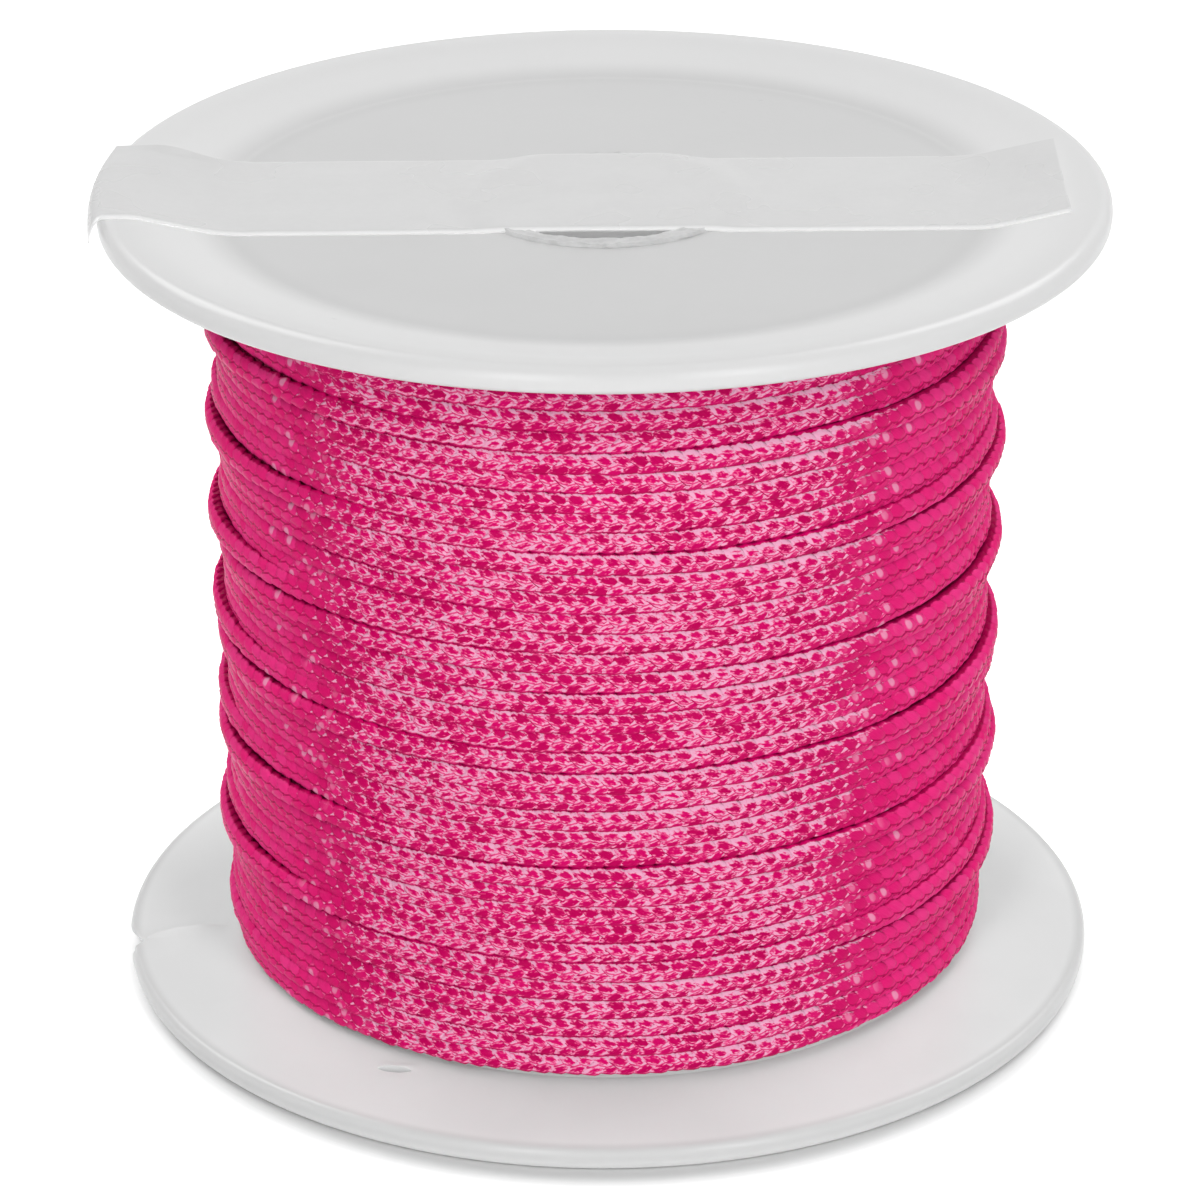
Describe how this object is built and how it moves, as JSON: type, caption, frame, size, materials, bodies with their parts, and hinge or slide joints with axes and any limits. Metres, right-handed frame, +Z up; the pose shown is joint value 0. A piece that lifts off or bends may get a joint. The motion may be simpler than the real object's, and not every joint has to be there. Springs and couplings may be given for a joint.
{
  "type": "fishing line spool",
  "caption": "Spool of wound braided line: dished flanges on a turned-over hub tube with a plain bore, a notched rim, and a strip of tape over the top.",
  "frame": {"origin": "centre of the lower rim's standing plane, on the spool's axis", "axes": "+Z up the spool's axis towards the taped flange; -Y is the side shown in front; the tape runs along X and folds over the rim at -X"},
  "size_m": [0.0581, 0.058, 0.0484],
  "materials": {
    "flange_plastic": "pale translucent polypropylene, satin",
    "hub_plastic": "pale polypropylene, rough where the end is turned over",
    "braided_line": "satin braided nylon, deep pink",
    "tape_film": "frosted clear film"
  },
  "bodies": {
    "root": {"lower_flange": "flange_plastic", "upper_flange": "flange_plastic", "hub_tube": "hub_plastic", "inner_cord_layers": "braided_line", "outer_cord_layer": "braided_line", "tape_strip": "tape_film"}
  },
  "joints": []
}
